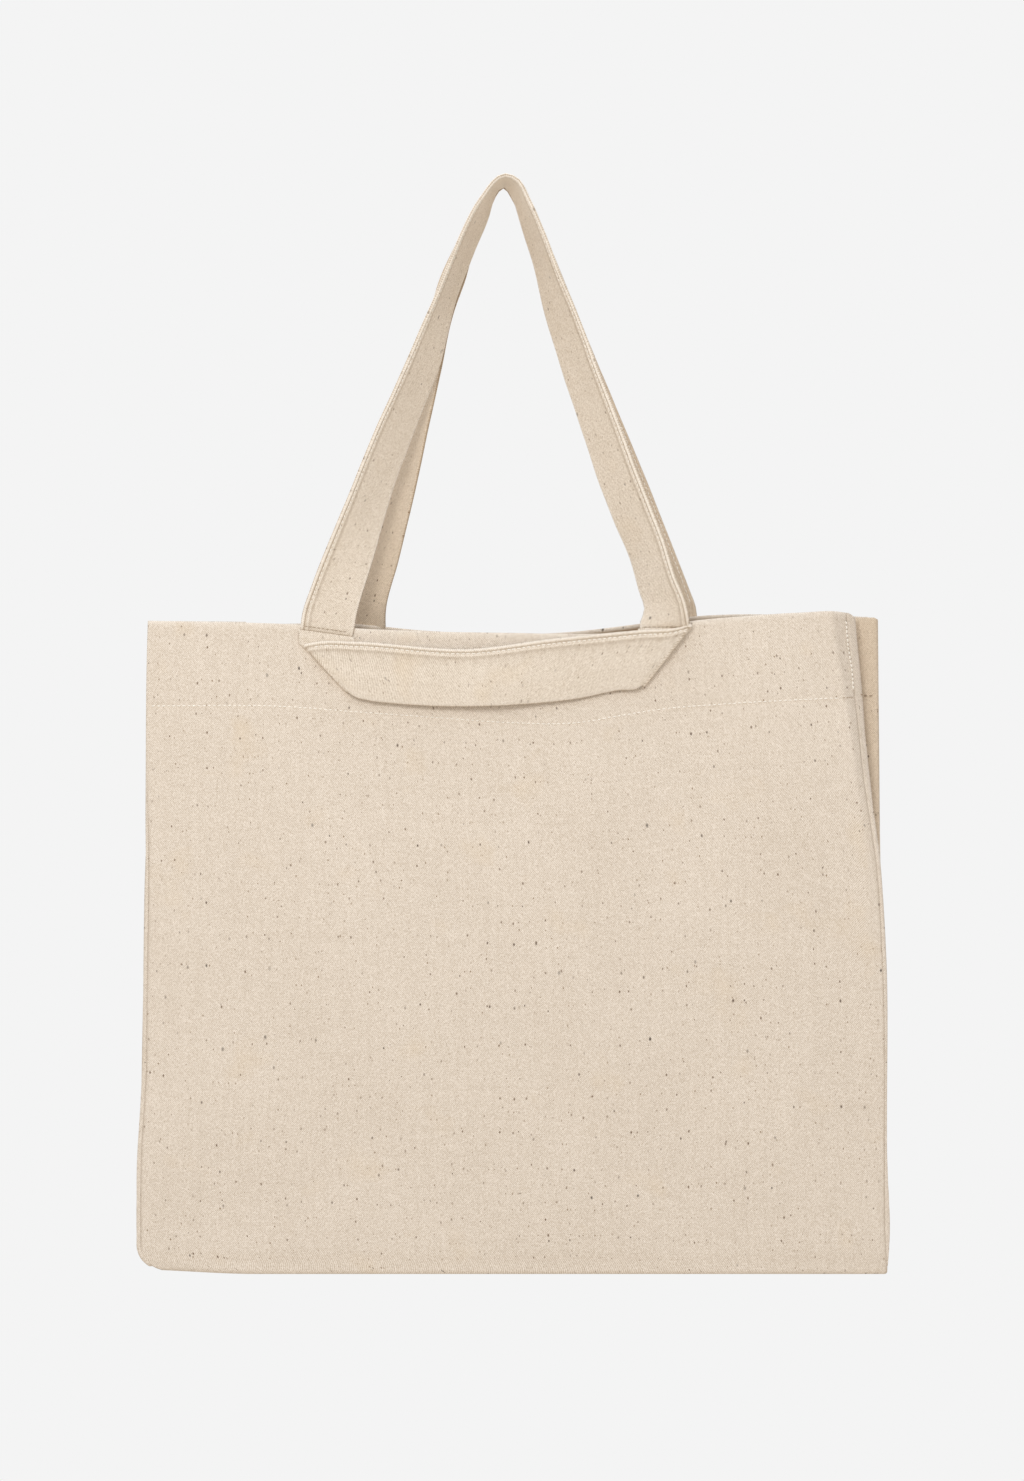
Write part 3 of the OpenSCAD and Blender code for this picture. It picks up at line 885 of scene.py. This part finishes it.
def uneven(length, draw):
    """The waves of a strap across its face: a crown, three slow ones, and puckers at the stitching."""
    wave = 0.45 * (1 - (2 * SHARE - 1) ** 2)[None] + 0 * length[:, None]
    for size, run, turn in ((0.50, 22, 2.0), (0.30, 11, 3.5), (0.12, 5, 6.0)):
        down = np.sin(length / run + draw.uniform(0, 6))[:, None]
        wave = wave + size * down * np.sin(SHARE * turn + draw.uniform(0, 6))[None]
    pucker = np.sin(length * 1.3 + 2 * np.sin(length / 7))[:, None]
    wave = wave + 0.10 * pucker * bell(SHARES, 3.6, 1.2)[None]
    # it is held at both roots
    return wave * np.sin(np.linspace(0, math.pi, len(length)))[:, None] ** 0.5


def long_handle(side, sign, material, painted, outer, inner):
    """A strap of constant width: where its two edges are drawn closer together, it is turned by that
    much. Returns its mid surface and the way out of it."""
    name = side + "_long_handle"
    outer, inner = over_top(outer), over_top(inner)
    apart = np.linalg.norm(outer - inner, axis=1)
    deep = np.sqrt(np.maximum(STRAP_W**2 - apart**2, 0))
    for _ in range(5):
        deep[1:-1] = (deep[:-2] + 2 * deep[1:-1] + deep[2:]) / 4
    middle = 1.0 + deep.max() / 2
    low = np.clip((outer[:, 1] + inner[:, 1]) / 2 / ROOT_Z, 0, 1)
    middle = middle + (ROOT_Y - middle) * low
    first = np.stack([outer[:, 0], -sign * (middle + deep / 2), outer[:, 1]], 1)
    last = np.stack([inner[:, 0], -sign * (middle - deep / 2), inner[:, 1]], 1)
    width = unit(last - first)
    reach = np.linalg.norm(last - first, axis=1, keepdims=True) - 2 * EDGE
    first = first + width * EDGE
    grid = first[:, None] + (width * reach)[:, None] * SHARE[None, :, None]
    length = distances(first)
    wave = uneven(length, np.random.default_rng(5 if sign > 0 else 6))
    grid = grid + normals(grid) * wave[..., None]
    cloth = on_cloth(SHARES[None], length[:, None], grid.shape[:2])
    # painted light round its highest point, where the strap's underside faces down
    painted_light = bell(length, length[LEG], 26)[:, None]
    painted_shading = painted * strap_highlight_shade(SHARES)[None] + 0.8 * painted_light
    # the rim gets painted shade, more of it round the highest point
    strap = shell(name + "_strap", grid, THICK[None], cloth, material, painted_shading, -1.4 - 1.4 * painted_light)
    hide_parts(name)
    n = normals(grid)
    pieces = [strap]
    for face, letter in ((1, "a"), (-1, "b")):
        line = (grid + n * face * THICK[None, :, None] / 2)[3:-3, ROW_AT]
        out = (n * face)[3:-3, ROW_AT]
        row = stitches(f"{name}_stitches_{letter}", line, out, THREAD, long=2.7, wide=0.6, high=0.36)
        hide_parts(name + "_stitching")
        pieces.append(row)
    for piece in pieces:
        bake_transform(piece)
    return grid, n


# (x, z) of each strap's two edges, from the left root over the top to the right root
front_outer = [
    (-122.5, -262.5), (-121, -252.5), (-116.5, -239.5), (-99.5, -197.5), (-53, -91), (-24, -25.5),
    (-14.5, -7.5), (1.5, 7.6), (6.5, 6.0), (15, -7.5), (23.5, -25.5), (35, -55), (88.5, -193),
    (95.5, -212), (101.5, -231), (108.5, -248), (111.3, -261.5),
]
front_inner = [
    (-90.5, -267), (-89, -257), (-80, -225), (-62.5, -165), (-52, -137), (-40, -106.5), (-31, -70.5),
    (-18.5, -34), (-10, -13), (-7.2, -4), (-4.4, 2.0), (-0.8, 4.4), (5.8, -4), (8.6, -13), (19.6, -52),
    (23.7, -70), (29.5, -88.5), (34.5, -106.5), (48.5, -149), (56, -173), (65.5, -197), (76, -221.5),
    (80.7, -239.5), (84, -251.5), (81.5, -258.5), (80.7, -262.5),
]
back_outer = [
    (-103, -262.5), (-102, -255), (-97, -238), (-84, -203), (-68, -156), (-50, -90), (-39.5, -48.5),
    (-31.5, -30.5), (-15, 0.2), (-8.8, 8.9), (0.5, 14.4), (10.9, 8.4), (15, -0.2), (43.5, -67),
    (58, -104), (76.5, -147), (112.5, -238.5), (116, -248), (117, -262.5),
]
back_inner = [
    (-72, -266), (-72, -252), (-64, -220.5), (-52.5, -172), (-39, -106), (-30.5, -70), (-24, -52),
    (-19, -34), (-13.9, -22), (-7.6, -4.5), (-4.6, 1.8), (-0.8, 4.6), (6.4, -4.5), (11.8, -22),
    (20.2, -52), (24.5, -70), (30.5, -88), (49, -147), (77, -220), (84, -240), (86.5, -255), (86, -266),
]
front_grid, front_n = long_handle("front", 1, STRAP, 1.0, front_outer, front_inner)
# the back handle is in the darker canvas, as painted shade
back_grid, back_n = long_handle("back", -1, SHADY, 0.0, back_outer, back_inner)

# ---- short handles: straps that come out under the long ones, fold at a mitre and hang in a band ----

BAND = 170  # points along the band
BAND_Y = 17.0


def mitre_roll(edge, beside):
    """Lines that carry a band on from its edge, round to the ply behind it."""
    away = edge - beside
    away[:, 1] = 0
    along = unit(np.gradient(edge, axis=0))
    away = unit(away - along * np.sum(away * along, axis=1, keepdims=True))
    r = STRAP_T / 2
    turns = np.linspace(0, math.pi, 6)[1:]
    return [edge + away * r * math.sin(a) + np.array([0, r * (1 - math.cos(a)), 0]) for a in turns]


def strap_tab(name, sign, tab, y_at):
    """One of a short handle's ends, which comes down from the mouth to the mitre."""
    x_out, x_in, z_out, z_in, mitre = tab
    w = np.linspace(0, 1, 14)
    down = np.linspace(0, 1, 16)[:, None]
    x = x_out + (x_in - x_out) * w
    high, low = (z_out + (z_in - z_out) * w)[None], np.interp(w, [0, 1], mitre)[None]
    z = high * (1 - down) + low * down
    fold = 0.35 * bell(z - high + 5 * w[None], -3.5, 1.3) * bell(w, 0, 0.3)[None]
    y = y_at(x)[None] - STRAP_T - 0.05 + 0.25 * np.sin(math.pi * w)[None] * down + fold
    mid = np.stack([np.broadcast_to(x, z.shape), -sign * y, z], 2)
    return shell(name, mid, STRAP_T * 0.95, on_cloth(w * STRAP_W, z, z.shape), STRAP)


def short_handle(side, sign, tops, bottoms, tabs, slant):
    """tops and bottoms are the band's edges. tabs are its two ends: (outer x, inner x, z at each, z of
    the fold at each). slant is how much further out the band's right end hangs."""
    name = side + "_short_handle"
    top, low = path(tops, BAND), path(bottoms, BAND)
    a = np.linspace(0, 1, BAND)[:, None]
    flat = top[:, None] * (1 - SHARE[None, :, None]) + low[:, None] * SHARE[None, :, None]
    crown = 1.5 * np.sin(math.pi * a) ** 0.7 * (0.25 + 0.75 * SHARE[None])
    y = BAND_Y + slant * a + crown + 0.9 * np.sin(math.pi * SHARE)[None]
    y = y + 0.35 * np.sin(a * 17 + 1) * (SHARE[None] - 0.5)
    # the stitching gathers the cloth under it into small puckers
    run = float(np.linalg.norm(top[-1] - top[0]))
    s = a * run
    pucker = np.sin(s * 1.15 + 1.6 * np.sin(s / 9)) + 0.7 * np.sin(s * 0.61 + 2)
    y = y + 0.14 * pucker * (bell(SHARES, 4.2, 2.0) + 0.35 * bell(SHARES, 1.0, 1.0))[None]
    y = y + 0.22 * np.sin(s / 6 + SHARES[None] / 8) * bell(SHARES, 12, 9)[None]
    # painted highlights and shade along the strap, and painted shade in the puckers below the stitching
    painted_shading = 0.8 * strap_highlight_shade(SHARES)[None] - (0.16 + 0.14 * np.clip(pucker, 0, 1)) * bell(SHARES, 6, 3)[None]
    band = np.stack([flat[..., 0], -y, flat[..., 1]], 2)
    # the mitre's fold: the cloth rolls over to the ply behind
    left, right = mitre_roll(band[0], band[1]), mitre_roll(band[-1], band[-2])
    grid = np.array(left[::-1] + list(band) + right)
    rolled = len(left)
    painted_shading = np.concatenate([painted_shading[:1]] * rolled + [painted_shading] + [painted_shading[-1:]] * rolled)
    over = np.linspace(0.5, 3, rolled)
    s = np.concatenate([-over[::-1], s[:, 0], run + over])
    cloth = on_cloth(s[:, None], -SHARES[None], grid.shape[:2])
    grid[..., 1] *= sign
    # the rim gets painted shade
    sheet = shell(name + "_band", grid, THICK[None], cloth, STRAP, painted_shading, -1.0)
    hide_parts(name)
    n = normals(grid)
    if n[BAND // 2, len(SHARES) // 2, 1] * sign > 0:
        n = -n
    line = (grid + n * THICK[None, :, None] / 2)[6:-6, ROW_AT]
    thread = stitches(name + "_band_stitches", line, n[6:-6, ROW_AT], THREAD)
    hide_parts(name + "_stitching")
    pieces = [sheet, thread]

    def behind(x):
        return np.interp(x, [band[0, 0, 0], band[-1, 0, 0]], [BAND_Y, BAND_Y + slant])

    for hand, tab in zip(("left", "right"), tabs):
        piece = strap_tab(f"{name}_end_{hand[0]}", sign, tab, behind)
        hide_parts(f"{side}_{hand}_strap_end")
        pieces.append(piece)
    upper = box(name)[1][2]
    start, end = (0, 0, (upper + 2.5) / MM), (0, 0, (upper - 8.0) / MM)
    for piece in pieces:
        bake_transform(piece)
        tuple(start)
        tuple(end)


L, R = (corner[0] for corner in box("front_short_handle"))
short_handle(
    "front",
    1,
    [
        (L + 2.4, -272.2), (L + 12, -270.6), (L + 31, -270.9), (L + 103, -275.3), (L + 149, -269.4),
        (L + 204, -263.9), (R - 4.5, -261.6), (R - 0.6, -260.2),
    ],
    [
        (L + 27.5, -299.6), (L + 30.4, -302.2), (L + 42, -305.6), (L + 53, -306.8), (L + 131, -307.6),
        (L + 167, -303.9), (L + 190, -299.2), (R - 31.4, -298.0), (R - 28.8, -296.4),
    ],
    [
        (L - 1.4, L + STRAP_W + 0.2, -263.4, -267.9, (-271.6, -301.0)),
        (R - 0.6, R - STRAP_W, -261.9, -263.1, (-263.5, -294.5)),
    ],
    slant=0.7,
)
L, R = (corner[0] for corner in box("back_short_handle"))
short_handle(
    "back",
    -1,
    [(L + 1.0, -270.6), (L + 30, -271.4), (L + 109, -275.2), (R - 30, -271.4), (R - 1.0, -270.6)],
    [(L + 28.5, -302.0), (L + 70, -305.2), (L + 109, -306.4), (R - 70, -305.2), (R - 28.5, -302.0)],
    [(x, x + turn * STRAP_W, -263.2, -266.8, (-270.5, -300.0)) for x, turn in ((L, 1), (R, -1))],
    slant=0.0,
)

# ---- the rows that hold the strap ends, across the foot of each long handle ----

for side, sign, grid, n in (("front", -1, front_grid, front_n), ("back", 1, back_grid, back_n)):
    # each lies a share of the way from a strap's end to the next line of its mid surface
    for end, beside, share, letter in ((0, 1, 0.38, "l"), (-1, -2, 0.06, "r")):
        foot = grid[end] * (1 - share) + grid[beside] * share
        out = n[beside] * np.sign(n[beside][:, 1:2]) * sign
        line = (foot + out * THICK[:, None] / 2)[1:-1]
        small = {"pitch": 2.6, "long": 1.9, "wide": 0.5, "high": 0.24}
        row = stitches(f"{side}_root_stitches_{letter}", line, out[1:-1], GREY_THREAD, **small)
        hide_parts(side + "_root_stitching")
        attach(row, side)

# ---- floor, sky, lights and camera ----

scene = bpy.context.scene
scene.view_settings.view_transform = "Standard"
scene.view_settings.look = "None"
GREY = linear(244, 244, 244)  # what the camera sees of the floor and the sky
BOUNCE = (0.72, 0.65, 0.575, 1)  # the floor's warm light on the bag
SKY_LOW, SKY_HIGH = (0.86, 0.765, 0.65, 1), (0.87, 0.895, 0.945, 1)  # and the sky's
FLOOR_Z, FLOOR_REACH = -1600.0, 40000

floor_paint = bpy.data.materials.new("pale_floor")
floor_paint.use_nodes = True
s = Nodes(floor_paint.node_tree)
s.tree.nodes.remove(s.tree.nodes["Principled BSDF"])
seen = s.add("ShaderNodeLightPath").outputs["Is Camera Ray"]
glow = s.add("ShaderNodeEmission", {"Color": s.mix(seen, BOUNCE, GREY)})
s.set(s.tree.nodes["Material Output"].inputs["Surface"], glow.outputs[0])
ends = (-FLOOR_REACH, FLOOR_REACH)
points = np.array([[x, y, FLOOR_Z] for y in ends for x in ends])
make("studio_floor", points, quads(2, 2, flip=True), points, floor_paint)

world = bpy.data.worlds.new("studio")
world.use_nodes = True
scene.world = world
s = Nodes(world.node_tree)
seen = s.add("ShaderNodeLightPath").outputs["Is Camera Ray"]
way = s.add("ShaderNodeSeparateXYZ", {0: s.add("ShaderNodeTexCoord").outputs["Generated"]})
ramp = s.add("ShaderNodeValToRGB", {0: s.math("MULTIPLY_ADD", way.outputs[2], 0.5, 0.5)})
for element, colour in zip(ramp.color_ramp.elements, (SKY_LOW, SKY_HIGH)):
    element.color = colour
s.set(s.tree.nodes["Background"].inputs[0], s.mix(seen, ramp.outputs[0], GREY))


def lamp(name, place, size, power, colour=(1, 1, 1)):
    """A square lamp that points at the bag's middle."""
    light = bpy.data.lights.new(name, "AREA")
    light.shape = "SQUARE"
    light.size = size
    light.energy = power
    light.color = colour
    holder = bpy.data.objects.new(name, light)
    holder.location = place
    holder.rotation_euler = (Vector((0, 0, -0.3)) - Vector(place)).to_track_quat("-Z", "Y").to_euler()
    scene.collection.objects.link(holder)


lamp("key", (-0.25, -1.25, 0.25), 0.4, 5.4, (1.0, 0.985, 0.965))
lamp("fill", (1.0, -2.0, 0.2), 1.6, 1.5)

VIEW_H = 0.8886  # the height that the camera sees at the bag's front, in metres
FRONT_Y = -0.013
camera = bpy.data.cameras.new("camera")
camera.lens = 100
camera.sensor_width = 36
camera.sensor_fit = "AUTO"
eye = bpy.data.objects.new("camera", camera)
eye.location = (0.0045, FRONT_Y - VIEW_H * camera.lens / camera.sensor_width, -0.3297)
eye.rotation_euler = (math.pi / 2, 0, 0)
scene.collection.objects.link(eye)
scene.camera = eye
